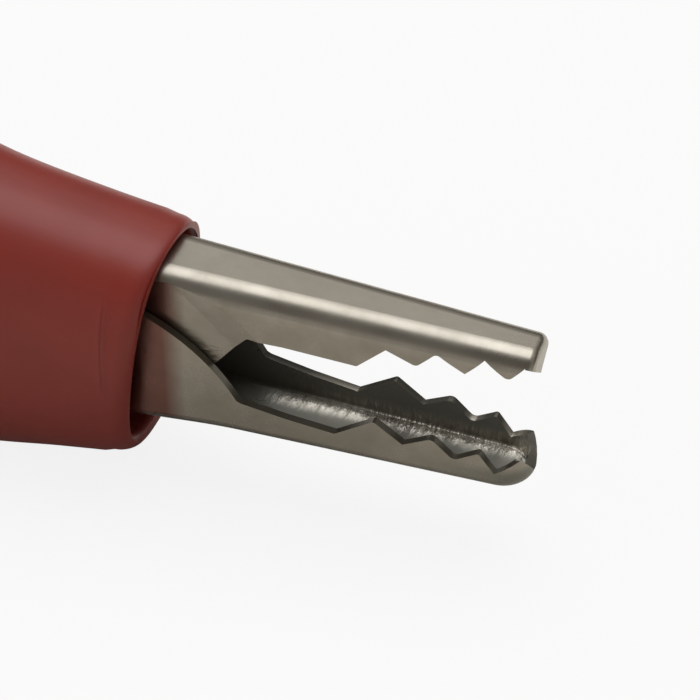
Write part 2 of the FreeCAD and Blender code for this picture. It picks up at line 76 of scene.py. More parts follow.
class NodeGraph:
    """A short way to write a material's node tree."""

    def __init__(self, name: str) -> None:
        """Start a material with only its output.

        Args:
            name: The material's name.
        """
        self.material = bpy.data.materials.new(name)
        self.material.use_nodes = True
        self.tree = self.material.node_tree
        self.tree.nodes.clear()
        self.output = self.tree.nodes.new("ShaderNodeOutputMaterial")
        self.place = self.tree.nodes.new("ShaderNodeTexCoord").outputs["Object"]

    def feed(self, socket: bpy.types.NodeSocket, value: Union[Value, Sequence[float]]) -> None:
        """Set a socket to a plain value or link it to another socket.

        Args:
            socket: The input to feed.
            value: A number, a vector or colour, or an output socket.
        """
        if isinstance(value, bpy.types.NodeSocket):
            self.tree.links.new(value, socket)
        elif isinstance(value, (int, float)):
            socket.default_value = value
        else:
            filled = list(value) + [1.0] * (len(socket.default_value) - len(value))
            socket.default_value = filled

    def node(self, kind: str, **inputs: Union[Value, Sequence[float]]) -> bpy.types.Node:
        """Add a node and feed its inputs by name.

        Args:
            kind: Blender's name of the node type.
            inputs: Values by input name, with spaces written as underscores.

        Returns:
            The new node.
        """
        made = self.tree.nodes.new(kind)
        for name, value in inputs.items():
            self.feed(made.inputs[name.replace("_", " ")], value)
        return made

    def math(self, operation: str, first: Value, second: Value = 0.0,
             clamp: bool = False) -> bpy.types.NodeSocket:
        """Combine two values.

        Args:
            operation: The Math node's operation.
            first: The first value.
            second: The second value.
            clamp: Whether the result is held between 0 and 1.

        Returns:
            The result's socket.
        """
        made = self.tree.nodes.new("ShaderNodeMath")
        made.operation = operation
        made.use_clamp = clamp
        self.feed(made.inputs[0], first)
        self.feed(made.inputs[1], second)
        return made.outputs[0]

    def times(self, first: Value, second: Value) -> bpy.types.NodeSocket:
        """The product of two values."""
        return self.math("MULTIPLY", first, second)

    def size_of(self, value: Value) -> bpy.types.NodeSocket:
        """A value without its sign."""
        return self.math("ABSOLUTE", value)

    def noise(self, cells: Sequence[float], detail: float = 3.0, rough: float = 0.5,
              turn: Sequence[float] = (0.0, 0.0, 0.0)) -> bpy.types.NodeSocket:
        """Fractal noise fixed to the object.

        Args:
            cells: How many of its cells fit in a metre along each axis.
            detail: Number of octaves.
            rough: Share of each finer octave.
            turn: Rotation in radians about each axis.

        Returns:
            The noise value.
        """
        mapping = self.node("ShaderNodeMapping", Vector=self.place, Scale=cells, Rotation=turn)
        made = self.node("ShaderNodeTexNoise", Vector=mapping.outputs[0], Scale=1.0, Detail=detail,
                         Roughness=rough)
        return made.outputs[0]

    def ramp(self, value: Value, low: float, high: float, at_low: float = 0.0,
             at_high: float = 1.0) -> bpy.types.NodeSocket:
        """Map a value from one range to another, held at both ends.

        Args:
            value: The value to map.
            low: Start of the value's range.
            high: End of the value's range.
            at_low: Result at the start.
            at_high: Result at the end.

        Returns:
            The mapped value.
        """
        made = self.tree.nodes.new("ShaderNodeMapRange")
        for index, item in enumerate((value, low, high, at_low, at_high)):
            self.feed(made.inputs[index], item)
        return made.outputs[0]

    def fall(self, value: Value, low: float, high: float) -> bpy.types.NodeSocket:
        """A ramp from 1 down to 0."""
        return self.ramp(value, low, high, 1.0, 0.0)

    def mix(self, share: Value, first: Union[Sequence[float], bpy.types.NodeSocket],
            second: Union[Sequence[float], bpy.types.NodeSocket]) -> bpy.types.NodeSocket:
        """Blend two colours.

        Args:
            share: How much of the second colour shows.
            first: The first colour.
            second: The second colour.

        Returns:
            The blended colour.
        """
        made = self.tree.nodes.new("ShaderNodeMix")
        made.data_type = "RGBA"
        self.feed(made.inputs[MIX_SHARE], share)
        self.feed(made.inputs[MIX_FIRST], first)
        self.feed(made.inputs[MIX_SECOND], second)
        return made.outputs[MIX_RESULT]

    def axis(self, name: str) -> bpy.types.NodeSocket:
        """One of the object's own coordinates, in millimetres."""
        split = self.node("ShaderNodeSeparateXYZ", Vector=self.place)
        return self.math("MULTIPLY", split.outputs[name], 1.0 / MM)

    def facing(self, kind: str = "True Normal") -> bpy.types.NodeOutputs:
        """The way the surface faces, as X, Y and Z outputs."""
        normal = self.node("ShaderNodeNewGeometry").outputs[kind]
        return self.node("ShaderNodeSeparateXYZ", Vector=normal).outputs

    def bell(self, value: Value, middle: float, width: float) -> bpy.types.NodeSocket:
        """A smooth bump of height 1 round one value.

        Args:
            value: The value to test.
            middle: Where the bump is highest.
            width: Distance at which it falls to about a third.

        Returns:
            The bump's height.
        """
        away = self.math("DIVIDE", self.math("SUBTRACT", value, middle), width)
        return self.math("POWER", math.e, self.times(self.times(away, away), -1.0))

    def bump(self, height: Value, depth_mm: float,
             after: Optional[bpy.types.NodeSocket] = None) -> bpy.types.NodeSocket:
        """Turn a height into a shading normal.

        Args:
            height: The height, from 0 to 1.
            depth_mm: Real height of 1, in millimetres.
            after: A normal to build on.

        Returns:
            The normal.
        """
        made = self.node("ShaderNodeBump", Height=height, Strength=1.0, Distance=depth_mm * MM)
        if after is not None:
            self.feed(made.inputs["Normal"], after)
        return made.outputs[0]

    def finish(self, shader: bpy.types.Node) -> bpy.types.Material:
        """Link the shader to the output and hand over the material."""
        self.tree.links.new(shader.outputs[0], self.output.inputs["Surface"])
        return self.material


def even(cells: float) -> Triple:
    """The same number of noise cells along each axis."""
    return (cells, cells, cells)


def raised(ends: Pair, step: float) -> Pair:
    """Both ends of a range, moved up by one step."""
    return (ends[0] + step, ends[1] + step)


@dataclass(frozen=True)
class SleeveVinyl:
    """Soft red vinyl with a satin skin and one faint upright groove near the mouth, darkened along
    it by painted shade.

    Lengths are in millimetres, and noise cells are counted per metre.
    """

    colour: Colour = (0.305, 0.036, 0.026)
    deep_colour: Colour = (0.250, 0.029, 0.021)
    # painted shade along the groove
    line_shade_colour: Colour = (0.10, 0.010, 0.009)
    roughness: float = 0.38
    roughness_spread: Pair = (-0.05, 0.07)
    cloud_cells: float = 160.0
    cloud_colour_ends: Pair = (0.35, 0.70)
    cloud_rough_ends: Pair = (0.30, 0.75)
    skin_cells: float = 5200.0
    skin_depth: float = 0.004
    dimple_cells: float = 900.0
    dimple_depth: float = 0.008
    line_x: float = 6.08
    line_ends_z: Pair = (6.0, 9.7)
    line_fade: float = 0.8
    line_width: float = 0.055
    line_shade_share: float = 0.30
    line_depth: float = 0.018
    ridge_width: float = 0.20
    ridge_height: float = 0.030
    refraction: float = 1.5
    scatter_share: float = 0.08
    scatter_colour: Colour = (0.9, 0.25, 0.15)
    scatter_reach: float = 0.6

    def material(self) -> bpy.types.Material:
        """Build the material.

        Returns:
            The finished material.
        """
        graph = NodeGraph("sleeve_vinyl")
        cloud = graph.noise(even(self.cloud_cells))
        x, z = graph.axis("X"), graph.axis("Z")
        low, high = self.line_ends_z
        tall = graph.times(graph.ramp(z, low, low + self.line_fade),
                           graph.fall(z, high, high + self.line_fade))
        line = graph.times(graph.bell(x, self.line_x, self.line_width), tall)
        ridge = graph.times(graph.bell(x, self.line_x, self.ridge_width), tall)
        colour = graph.mix(graph.ramp(cloud, *self.cloud_colour_ends), self.colour,
                           self.deep_colour)
        # painted shade in the groove
        colour = graph.mix(graph.times(line, self.line_shade_share), colour, self.line_shade_colour)
        rough = graph.ramp(cloud, *self.cloud_rough_ends,
                           *raised(self.roughness_spread, self.roughness))
        normal = graph.bump(graph.noise(even(self.skin_cells), detail=2.0), self.skin_depth)
        dimples = graph.noise(even(self.dimple_cells), detail=2.0)
        normal = graph.bump(dimples, self.dimple_depth, normal)
        normal = graph.bump(ridge, self.ridge_height, normal)
        normal = graph.bump(graph.math("SUBTRACT", 1.0, line), self.line_depth, normal)
        shader = graph.node("ShaderNodeBsdfPrincipled", Base_Color=colour, Roughness=rough,
                            Normal=normal)
        shader.inputs["IOR"].default_value = self.refraction
        shader.inputs["Subsurface Weight"].default_value = self.scatter_share
        shader.inputs["Subsurface Radius"].default_value = self.scatter_colour
        shader.inputs["Subsurface Scale"].default_value = self.scatter_reach * MM
        return graph.finish(shader)


@dataclass(frozen=True)
class PlatedSheet:
    """Nickel plate over pressed steel, dulled by handling and darker on its cut edges, with painted
    shade inside the lower jaw and on the far cut edges, a painted highlight along the lower floor's
    press marks and a painted red reflection of the sleeve beside its mouth.

    Lengths are in millimetres, and noise cells are counted per metre.
    """

    colour: Colour = (0.470, 0.445, 0.390)
    dull_colour: Colour = (0.390, 0.365, 0.312)
    roughness: float = 0.27
    roughness_spread: Pair = (-0.04, 0.05)
    grain_cells: Triple = (16000.0, 1500.0, 1500.0)
    grain_depth: float = 0.0026
    mottle_cells: float = 700.0
    mottle_colour_ends: Pair = (0.35, 0.72)
    mottle_rough_ends: Pair = (0.40, 0.80)
    mottle_roughness: float = 0.10
    mottle_depth: float = 0.006
    patch_cells: float = 230.0
    patch_ends: Pair = (0.3, 0.7)
    calm_ends: Pair = (0.93, 0.97)
    calm_keep: float = 0.2
    edge_colour: Colour = (0.170, 0.160, 0.130)
    # painted shade: the cut edges on the far side are darker than on the near side
    far_edge_painted_shade_colour: Colour = (0.055, 0.056, 0.048)
    edge_sideways: Pair = (0.02, 0.08)
    edge_upright: Pair = (0.15, 0.30)
    edge_over_floor: float = 0.3
    edge_sides_y: Pair = (-0.5, 0.5)
    edge_share: float = 0.85
    edge_roughness: float = 0.15
    # painted reflection of the red sleeve, with painted shade, on the side walls beside its mouth
    painted_red_reflection_colour: Colour = (0.205, 0.066, 0.053)
    red_reflection_ends_x: Pair = (7.90, 8.75)
    red_reflection_share: float = 0.80
    red_reflection_facing: Pair = (0.93, 0.985)
    scuffed_colour: Colour = (0.620, 0.540, 0.470)
    scuff_at: Pair = (10.05, 7.10)
    scuff_slope: float = -48.0
    scuff_size: Pair = (1.35, 0.50)
    scuff_cells: Triple = (900.0, 900.0, 9000.0)
    scuff_turn: float = -0.75
    scuff_ends: Pair = (0.50, 0.62)
    scuff_share: float = 0.6
    scuff_roughness: float = 0.22
    scuff_depth: float = 0.010
    dish_power: float = 3.0
    dish_depth: float = 0.085
    # painted shade: the lower jaw's inside is darker and duller where shade falls
    inside_painted_shade_colour: Colour = (0.190, 0.195, 0.170)
    inside_shade_share: float = 0.85
    inside_dullness: float = 0.55
    inside_facing: Pair = (-0.6, -0.2)
    floor_z: Pair = (4.35, 4.75)
    floor_half_width: Pair = (1.35, 1.50)
    # painted highlight along the pressed ribs on the lower jaw's floor
    rib_painted_highlight_colour: Colour = (0.800, 0.760, 0.680)
    rib_line_y: float = 0.85
    rib_width: float = 0.42
    rib_ends_x: Pair = (10.8, 12.8)
    rib_cells: Triple = (5200.0, 900.0, 900.0)
    rib_highlight_ends: Pair = (0.40, 0.60)
    rib_depth: float = 0.110

    def material(self, name: str, upper: bool) -> bpy.types.Material:
        """Build the material.

        Args:
            name: The material's name.
            upper: Whether this is the upper jaw, whose wall the lower ear rubs. The lower jaw's
                floor carries press marks instead, with a painted highlight along them.

        Returns:
            The finished material.
        """
        graph = NodeGraph(name)
        x, y, z = (graph.axis(axis) for axis in "XYZ")
        grain = graph.noise(self.grain_cells, detail=2.0, rough=0.6)
        mottle = graph.noise(even(self.mottle_cells), detail=4.0, rough=0.6)
        patch = graph.noise(even(self.patch_cells), detail=2.0)
        colour = graph.mix(graph.ramp(mottle, *self.mottle_colour_ends), self.colour,
                           self.dull_colour)
        rough = graph.math("ADD", graph.ramp(patch, *self.patch_ends,
                                             *raised(self.roughness_spread, self.roughness)),
                           graph.ramp(mottle, *self.mottle_rough_ends, 0.0, self.mottle_roughness))
        normal = graph.bump(grain, self.grain_depth, self.calm_wall(graph))
        normal = graph.bump(mottle, self.mottle_depth, normal)
        metallic: Value = 1.0
        if upper:
            scratch = graph.noise(self.scuff_cells, detail=2.0, rough=0.7,
                                  turn=(0.0, self.scuff_turn, 0.0))
            marks = graph.times(self.scuff_place(graph, x, z),
                                graph.ramp(scratch, *self.scuff_ends))
            colour = graph.mix(graph.times(marks, self.scuff_share), colour, self.scuffed_colour)
            rough = graph.math("ADD", rough, graph.times(marks, self.scuff_roughness))
            normal = graph.bump(marks, self.scuff_depth, normal)
        else:
            dish = graph.math("POWER", graph.size_of(y), self.dish_power)
            normal = graph.bump(dish, self.dish_depth, normal)
            inside = graph.times(graph.fall(z, *self.floor_z),
                                 graph.fall(graph.size_of(y), *self.floor_half_width))
            strip = graph.times(graph.bell(y, self.rib_line_y, self.rib_width),
                                graph.ramp(x, *self.rib_ends_x))
            strip = graph.times(strip, inside)
            ribs = graph.noise(self.rib_cells, detail=3.0, rough=0.7)
            normal = graph.bump(graph.times(ribs, strip), self.rib_depth, normal)
            # painted highlight on the ribs
            painted_rib_highlight = graph.times(strip, graph.ramp(ribs, *self.rib_highlight_ends))
            colour = graph.mix(painted_rib_highlight, colour, self.rib_painted_highlight_colour)
            # painted shade inside the lower jaw, kept off the floor's press-mark strip
            shaded_inside = graph.times(graph.math("MAXIMUM", inside, self.inward(graph, y)),
                                 graph.math("SUBTRACT", 1.0, strip, clamp=True))
            colour = graph.mix(graph.times(shaded_inside, self.inside_shade_share), colour, self.inside_painted_shade_colour)
            metallic = graph.math("SUBTRACT", 1.0, graph.times(shaded_inside, self.inside_dullness))
        # painted reflection of the red sleeve and painted shade on the side walls beside its mouth
        colour = graph.mix(self.painted_red_reflection(graph, x), colour, self.painted_red_reflection_colour)
        edge = self.cut_edge(graph, z, upper)
        # real cut-edge colour on the near side, blending to painted shade on the far side
        cut_and_far_shade_colour = graph.mix(graph.ramp(y, *self.edge_sides_y), self.edge_colour,
                               self.far_edge_painted_shade_colour)
        colour = graph.mix(graph.times(edge, self.edge_share), colour, cut_and_far_shade_colour)
        rough = graph.math("ADD", rough, graph.times(edge, self.edge_roughness))
        shader = graph.node("ShaderNodeBsdfPrincipled", Base_Color=colour, Roughness=rough,
                            Metallic=metallic, Normal=normal)
        return graph.finish(shader)

    def cut_edge(self, graph: NodeGraph, z: bpy.types.NodeSocket,
                 upper: bool) -> bpy.types.NodeSocket:
        """Where the sheet was sheared along the teeth and ears.

        Args:
            graph: The material's graph.
            z: The surface's Z in millimetres.
            upper: Whether this is the upper jaw, whose edges look down.

        Returns:
            1 on a cut edge and 0 elsewhere.
        """
        facing = graph.facing()
        upright = graph.times(facing["Z"], -1.0 if upper else 1.0)
        edge = graph.times(graph.fall(graph.size_of(facing["Y"]), *self.edge_sideways),
                           graph.ramp(upright, *self.edge_upright))
        if upper:
            return edge
        return graph.times(edge, graph.ramp(z, *raised(self.floor_z, self.edge_over_floor)))

    def painted_red_reflection(self, graph: NodeGraph, x: bpy.types.NodeSocket) -> bpy.types.NodeSocket:
        """How much painted reflection of the sleeve's red, with painted shade, the side walls show
        beside its mouth.

        Args:
            graph: The material's graph.
            x: The surface's X in millimetres.

        Returns:
            The share of the painted reflection and shade.
        """
        wall = graph.ramp(graph.size_of(graph.facing()["Y"]), *self.red_reflection_facing)
        return graph.times(graph.ramp(x, *self.red_reflection_ends_x, self.red_reflection_share, 0.0), wall)

    def calm_wall(self, graph: NodeGraph) -> bpy.types.NodeSocket:
        """The surface's normal, with the small leans of the side walls taken down.

        Args:
            graph: The material's graph.

        Returns:
            The normal.
        """
        facing = graph.facing("Normal")
        keep = graph.ramp(graph.size_of(facing["Y"]), *self.calm_ends, 1.0, self.calm_keep)
        joined = graph.node("ShaderNodeCombineXYZ", X=graph.times(facing["X"], keep), Y=facing["Y"],
                            Z=graph.times(facing["Z"], keep))
        unit = graph.tree.nodes.new("ShaderNodeVectorMath")
        unit.operation = "NORMALIZE"
        graph.feed(unit.inputs[0], joined.outputs[0])
        return unit.outputs[0]

    def inward(self, graph: NodeGraph, y: bpy.types.NodeSocket) -> bpy.types.NodeSocket:
        """Where a side wall's inner face is.

        Args:
            graph: The material's graph.
            y: The surface's Y in millimetres.

        Returns:
            1 on an inner face and 0 elsewhere.
        """
        return graph.fall(graph.times(graph.facing()["Y"], y), *self.inside_facing)

    def scuff_place(self, graph: NodeGraph, x: bpy.types.NodeSocket,
                    z: bpy.types.NodeSocket) -> bpy.types.NodeSocket:
        """The slanting patch of the wall that the lower ear's front edge rubs.

        Args:
            graph: The material's graph.
            x: The surface's X in millimetres.
            z: The surface's Z in millimetres.

        Returns:
            1 in the middle of the patch and 0 well outside it.
        """
        slope = math.radians(self.scuff_slope)
        cosine, sine = math.cos(slope), math.sin(slope)
        dx = graph.math("SUBTRACT", x, self.scuff_at[0])
        dz = graph.math("SUBTRACT", z, self.scuff_at[1])
        along = graph.math("ADD", graph.times(dx, cosine), graph.times(dz, sine))
        across = graph.math("SUBTRACT", graph.times(dz, cosine), graph.times(dx, sine))
        return graph.times(graph.bell(along, 0.0, self.scuff_size[0]),
                           graph.bell(across, 0.0, self.scuff_size[1]))


@dataclass(frozen=True)
class TurnedMetal:
    """Small turned or drawn metal with fine lines, whose cells are counted per metre."""

    name: str
    colour: Colour
    roughness: float
    line_cells: Triple
    line_depth: float = 0.003
    soil_cells: float = 1200.0
    soil_colour_ends: Pair = (0.40, 0.75)
    soil_rough_ends: Pair = (0.3, 0.8)
    soil_roughness: float = 0.15
    soil_shade: float = 0.6

    def material(self) -> bpy.types.Material:
        """Build the material.

        Returns:
            The finished material.
        """
        graph = NodeGraph(self.name)
        grain = graph.noise(self.line_cells, detail=3.0, rough=0.6)
        soil = graph.noise(even(self.soil_cells))
        dark = tuple(channel * self.soil_shade for channel in self.colour)
        colour = graph.mix(graph.ramp(soil, *self.soil_colour_ends), self.colour, dark)
        rough = graph.ramp(soil, *self.soil_rough_ends, self.roughness,
                           self.roughness + self.soil_roughness)
        shader = graph.node("ShaderNodeBsdfPrincipled", Base_Color=colour, Roughness=rough,
                            Metallic=1.0, Normal=graph.bump(grain, self.line_depth))
        return graph.finish(shader)


def dress(piece: bpy.types.Object, material: bpy.types.Material) -> None:
    """Give a piece its finish.

    Args:
        piece: The piece.
        material: Its material.
    """
    piece.data.materials.clear()
    piece.data.materials.append(material)


def shade_smooth(piece: bpy.types.Object, angle: float) -> None:
    """Shade a mesh smoothly and keep its true edges sharp.

    Args:
        piece: The piece.
        angle: Edges that turn by more than this many degrees stay sharp.
    """
    mesh = piece.data
    mesh.shade_smooth()
    mesh.set_sharp_from_angle(angle=math.radians(angle))


def make_piece(name: str, points: Sequence[Sequence[float]],
               faces: Sequence[Sequence[int]]) -> bpy.types.Object:
    """Make an object from points and faces and put it in the scene.

    Args:
        name: Its name.
        points: Its corners in metres.
        faces: The corners of each face.

    Returns:
        The object.
    """
    mesh = bpy.data.meshes.new(name)
    mesh.from_pydata(points, [], faces)
    mesh.validate()
    piece = bpy.data.objects.new(name, mesh)
    bpy.context.scene.collection.objects.link(piece)
    return piece


def tube_faces(rings: int, around: int, closed: bool) -> list[tuple[int, ...]]:
    """The quads that join rings of points into a tube.

    Args:
        rings: Number of rings.
        around: Points in each ring.
        closed: Whether the last ring joins the first.

    Returns:
        The faces.
    """
    faces = []
    for r in range(rings if closed else rings - 1):
        here, there = r * around, (r + 1) % rings * around
        for i in range(around):
            j = (i + 1) % around
            faces.append((here + i, here + j, there + j, there + i))
    return faces


@dataclass(frozen=True)
class Section:
    """One closed cross-section of the sleeve, in millimetres."""

    x: float
    z: float
    half_height: float
    half_width: float
    squareness: float
    lean: float = 0.0

    def points(self, count: int, floor: float) -> list[Vector]:
        """Points round the section, in metres.

        Args:
            count: Number of points.
            floor: Height below which the section is pressed flat.

        Returns:
            The points, counted from +Y.
        """
        lean = math.tan(math.radians(self.lean))
        power = self.squareness
        found = []
        for i in range(count):
            angle = 2.0 * math.pi * i / count
            c, s = math.cos(angle), math.sin(angle)
            swell = (abs(c) ** power + abs(s) ** power) ** (-1.0 / power)
            rise = self.half_height * s * swell
            height = max(self.z + rise, floor)
            found.append(Vector((self.x + rise * lean, self.half_width * c * swell, height)) * MM)
        return found


@dataclass
class SleeveBoot:
    """The soft sleeve: an oval mouth, a humped belly over both handles and a round lead neck.

    Lengths are in millimetres and angles in degrees. A station holds the X, the Z of the middle,
    the half height, the half width and the squareness of one outer section.
    """

    stations: tuple[tuple[float, float, float, float, float], ...] = (
        (7.07, 6.40, 5.35, 4.00, 2.4), (3.52, 6.375, 5.925, 4.25, 2.35),
        (-0.48, 6.425, 6.675, 4.60, 2.3), (-4.48, 6.95, 7.40, 4.85, 2.3),
        (-8.48, 7.225, 7.625, 4.85, 2.3), (-12.48, 7.15, 7.10, 4.55, 2.25),
        (-15.98, 6.70, 5.65, 3.75, 2.15), (-18.68, 5.65, 3.50, 2.85, 2.0),
        (-20.08, 5.05, 2.40, 2.40, 2.0))
    belly_station: int = 3
    body_steps: int = 9
    hollow_steps: int = 4
    around: int = 128
    neck_end_x: float = -23.22
    neck_round: float = 0.3
    neck_shares: tuple[float, ...] = (0.25, 0.5, 0.75, 1.0)
    neck_steps: int = 4
    bore_start_x: float = -18.08
    bore_radius: float = 1.5
    bore_mouth: tuple[Pair, ...] = ((0.0, 0.25), (0.07, 0.07), (0.25, 0.0), (2.5, 0.0))
    bore_flare: Triple = (0.15, 0.5, 0.25)
    hollow_start: float = 0.6
    hollow_squareness: float = 3.2
    wall: float = 0.95
    mouth_wall: float = 0.55
    mouth_lift: float = 0.22
    mouth_lean: float = 8.0
    mouth_depth: float = 1.6
    lip_steps: int = 8
    lip_round: Pair = (0.34, 0.60)
    lip_back: float = 0.80
    lip_gap: float = 0.15
    lip_swell: Pair = (0.04, 0.02)
    lip_flare: Pair = (0.19, 0.33)
    flare_depth: float = 0.45
    flare_steps: int = 6
    sharp_angle: float = 60.0
    finish: SleeveVinyl = SleeveVinyl()

    def lean_at(self, x: float) -> float:
        """Lean of a section: full at the mouth and none from the belly back."""
        mouth, belly = self.stations[0][0], self.stations[self.belly_station][0]
        return self.mouth_lean * max(0.0, (x - belly) / (mouth - belly))

    def smooth(self, steps: int) -> list[Section]:
        """The stations with more between them, on smooth curves.

        Args:
            steps: Sections made for each pair of stations.

        Returns:
            The sections from the mouth to the neck.
        """
        rows = self.stations
        found = []
        for i in range(len(rows) - 1):
            four = (rows[max(i - 1, 0)], rows[i], rows[i + 1], rows[min(i + 2, len(rows) - 1)])
            for step in range(steps):
                t = step / steps
                weights = ((-t + 2 * t ** 2 - t ** 3) / 2, (2 - 5 * t ** 2 + 3 * t ** 3) / 2,
                           (t + 4 * t ** 2 - 3 * t ** 3) / 2, (t ** 3 - t ** 2) / 2)
                x, z, height, width, square = (sum(w * row[k] for w, row in zip(weights, four))
                                               for k in range(5))
                found.append(Section(x, z, height, width, square, self.lean_at(x)))
        found.append(Section(*rows[-1]))
        return found

    def outside(self) -> list[Section]:
        """Sections of the outer skin, from the rounded lip to the rounded end of the neck."""
        x, z, height, width, square = self.stations[0]
        lip = []
        for step in range(self.lip_steps + 1):
            turn = math.radians(90.0 / self.lip_steps * step)
            back = self.lip_back * (1.0 - math.cos(turn))
            drop, draw = (depth * (1.0 - math.sin(turn)) for depth in self.lip_round)
            lip.append(Section(x - back, z, height - drop + self.lip_swell[0] * back,
                               width - draw + self.lip_swell[1] * back, square, self.mouth_lean))
        body = [s for s in self.smooth(self.body_steps) if s.x < x - self.lip_back - self.lip_gap]
        neck_x, neck_z, radius = self.stations[-1][:3]
        neck = [Section(neck_x - share * (neck_x - self.neck_end_x - self.neck_round), neck_z,
                        radius, radius, ROUND) for share in self.neck_shares]
        for step in range(1, self.neck_steps + 1):
            turn = math.radians(90.0 / self.neck_steps * step)
            shrink = self.neck_round * (1.0 - math.cos(turn))
            end_x = self.neck_end_x + self.neck_round - self.neck_round * math.sin(turn)
            neck.append(Section(end_x, neck_z, radius - shrink, radius - shrink, ROUND))
        return lip + body + neck

    def bore(self) -> list[Section]:
        """Sections of the lead's bore, from the neck's end to where it widens into the hollow."""
        neck_z = self.stations[-1][1]
        found = [Section(self.neck_end_x + depth, neck_z, self.bore_radius + more,
                         self.bore_radius + more, ROUND) for depth, more in self.bore_mouth]
        before, taller, wider = self.bore_flare
        found.append(Section(self.bore_start_x - before, neck_z, self.bore_radius,
                             self.bore_radius, ROUND))
        found.append(Section(self.bore_start_x, neck_z, self.bore_radius + taller,
                             self.bore_radius + wider, ROUND))
        return found

    def inside(self) -> list[Section]:
        """Sections of the bore and the hollow, from the neck's end to the mouth."""
        x, z, height, width, _ = self.stations[0]
        square = self.hollow_squareness
        first, last = self.bore_start_x + self.hollow_start, self.stations[1][0]
        deep = [s for s in self.smooth(self.hollow_steps) if first < s.x <= last]
        hollow = [Section(s.x, s.z, s.half_height - self.wall, s.half_width - self.wall, square,
                          s.lean) for s in reversed(deep)]
        middle = z + self.mouth_lift
        high = height - self.mouth_wall - self.mouth_lift
        wide = width - self.wall
        mouth = [Section(x - self.mouth_depth, middle, high, wide, square, self.mouth_lean)]
        for step in range(self.flare_steps + 1):
            turn = math.radians(90.0 / self.flare_steps * step)
            depth = self.flare_depth * (1.0 - math.sin(turn))
            rise, spread = (flare * (1.0 - math.cos(turn)) for flare in self.lip_flare)
            mouth.append(Section(x - depth, middle, high + rise, wide + spread, square,
                                 self.mouth_lean))
        return self.bore() + hollow + mouth

    def build(self) -> bpy.types.Object:
        """Build the sleeve's mesh, with its wall thickness, lip and bore.

        Returns:
            The sleeve.
        """
        rings = [s.points(self.around, 0.0) for s in self.outside() + self.inside()]
        sleeve = make_piece("soft_sleeve", [point for ring in rings for point in ring],
                            tube_faces(len(rings), self.around, closed=True))
        sleeve.data.flip_normals()
        shade_smooth(sleeve, self.sharp_angle)
        dress(sleeve, self.finish.material())
        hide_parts(Node.BOOT.value)
        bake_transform(sleeve)
        return sleeve


@dataclass
class JawPair:
    """The two toothed pressings, which keep their solids and get their plating."""

    finish: PlatedSheet = PlatedSheet()

    def build(self) -> list[bpy.types.Object]:
        """Dress both jaws.

        Returns:
            The two jaws.
        """
        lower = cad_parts[Node.LOWER_JAW.value]
        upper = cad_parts[Node.UPPER_JAW.value]
        dress(lower, self.finish.material("plated_sheet_lower", upper=False))
        dress(upper, self.finish.material("plated_sheet_upper", upper=True))
        return [lower, upper]


@dataclass
class Fixings:
    """The rivet and the terminal screw, which keep their solids."""

    rivet: TurnedMetal = TurnedMetal("rivet_plate", (0.55, 0.53, 0.50), 0.25, even(3000.0))
    brass: TurnedMetal = TurnedMetal("screw_brass", (0.70, 0.50, 0.22), 0.25,
                                     (6000.0, 6000.0, 900.0))

    def build(self) -> list[bpy.types.Object]:
        """Dress the rivet and the screw.

        Returns:
            The two fixings.
        """
        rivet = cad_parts[Node.RIVET.value]
        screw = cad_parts[Node.SCREW.value]
        dress(rivet, self.rivet.material())
        dress(screw, self.brass.material())
        return [rivet, screw]


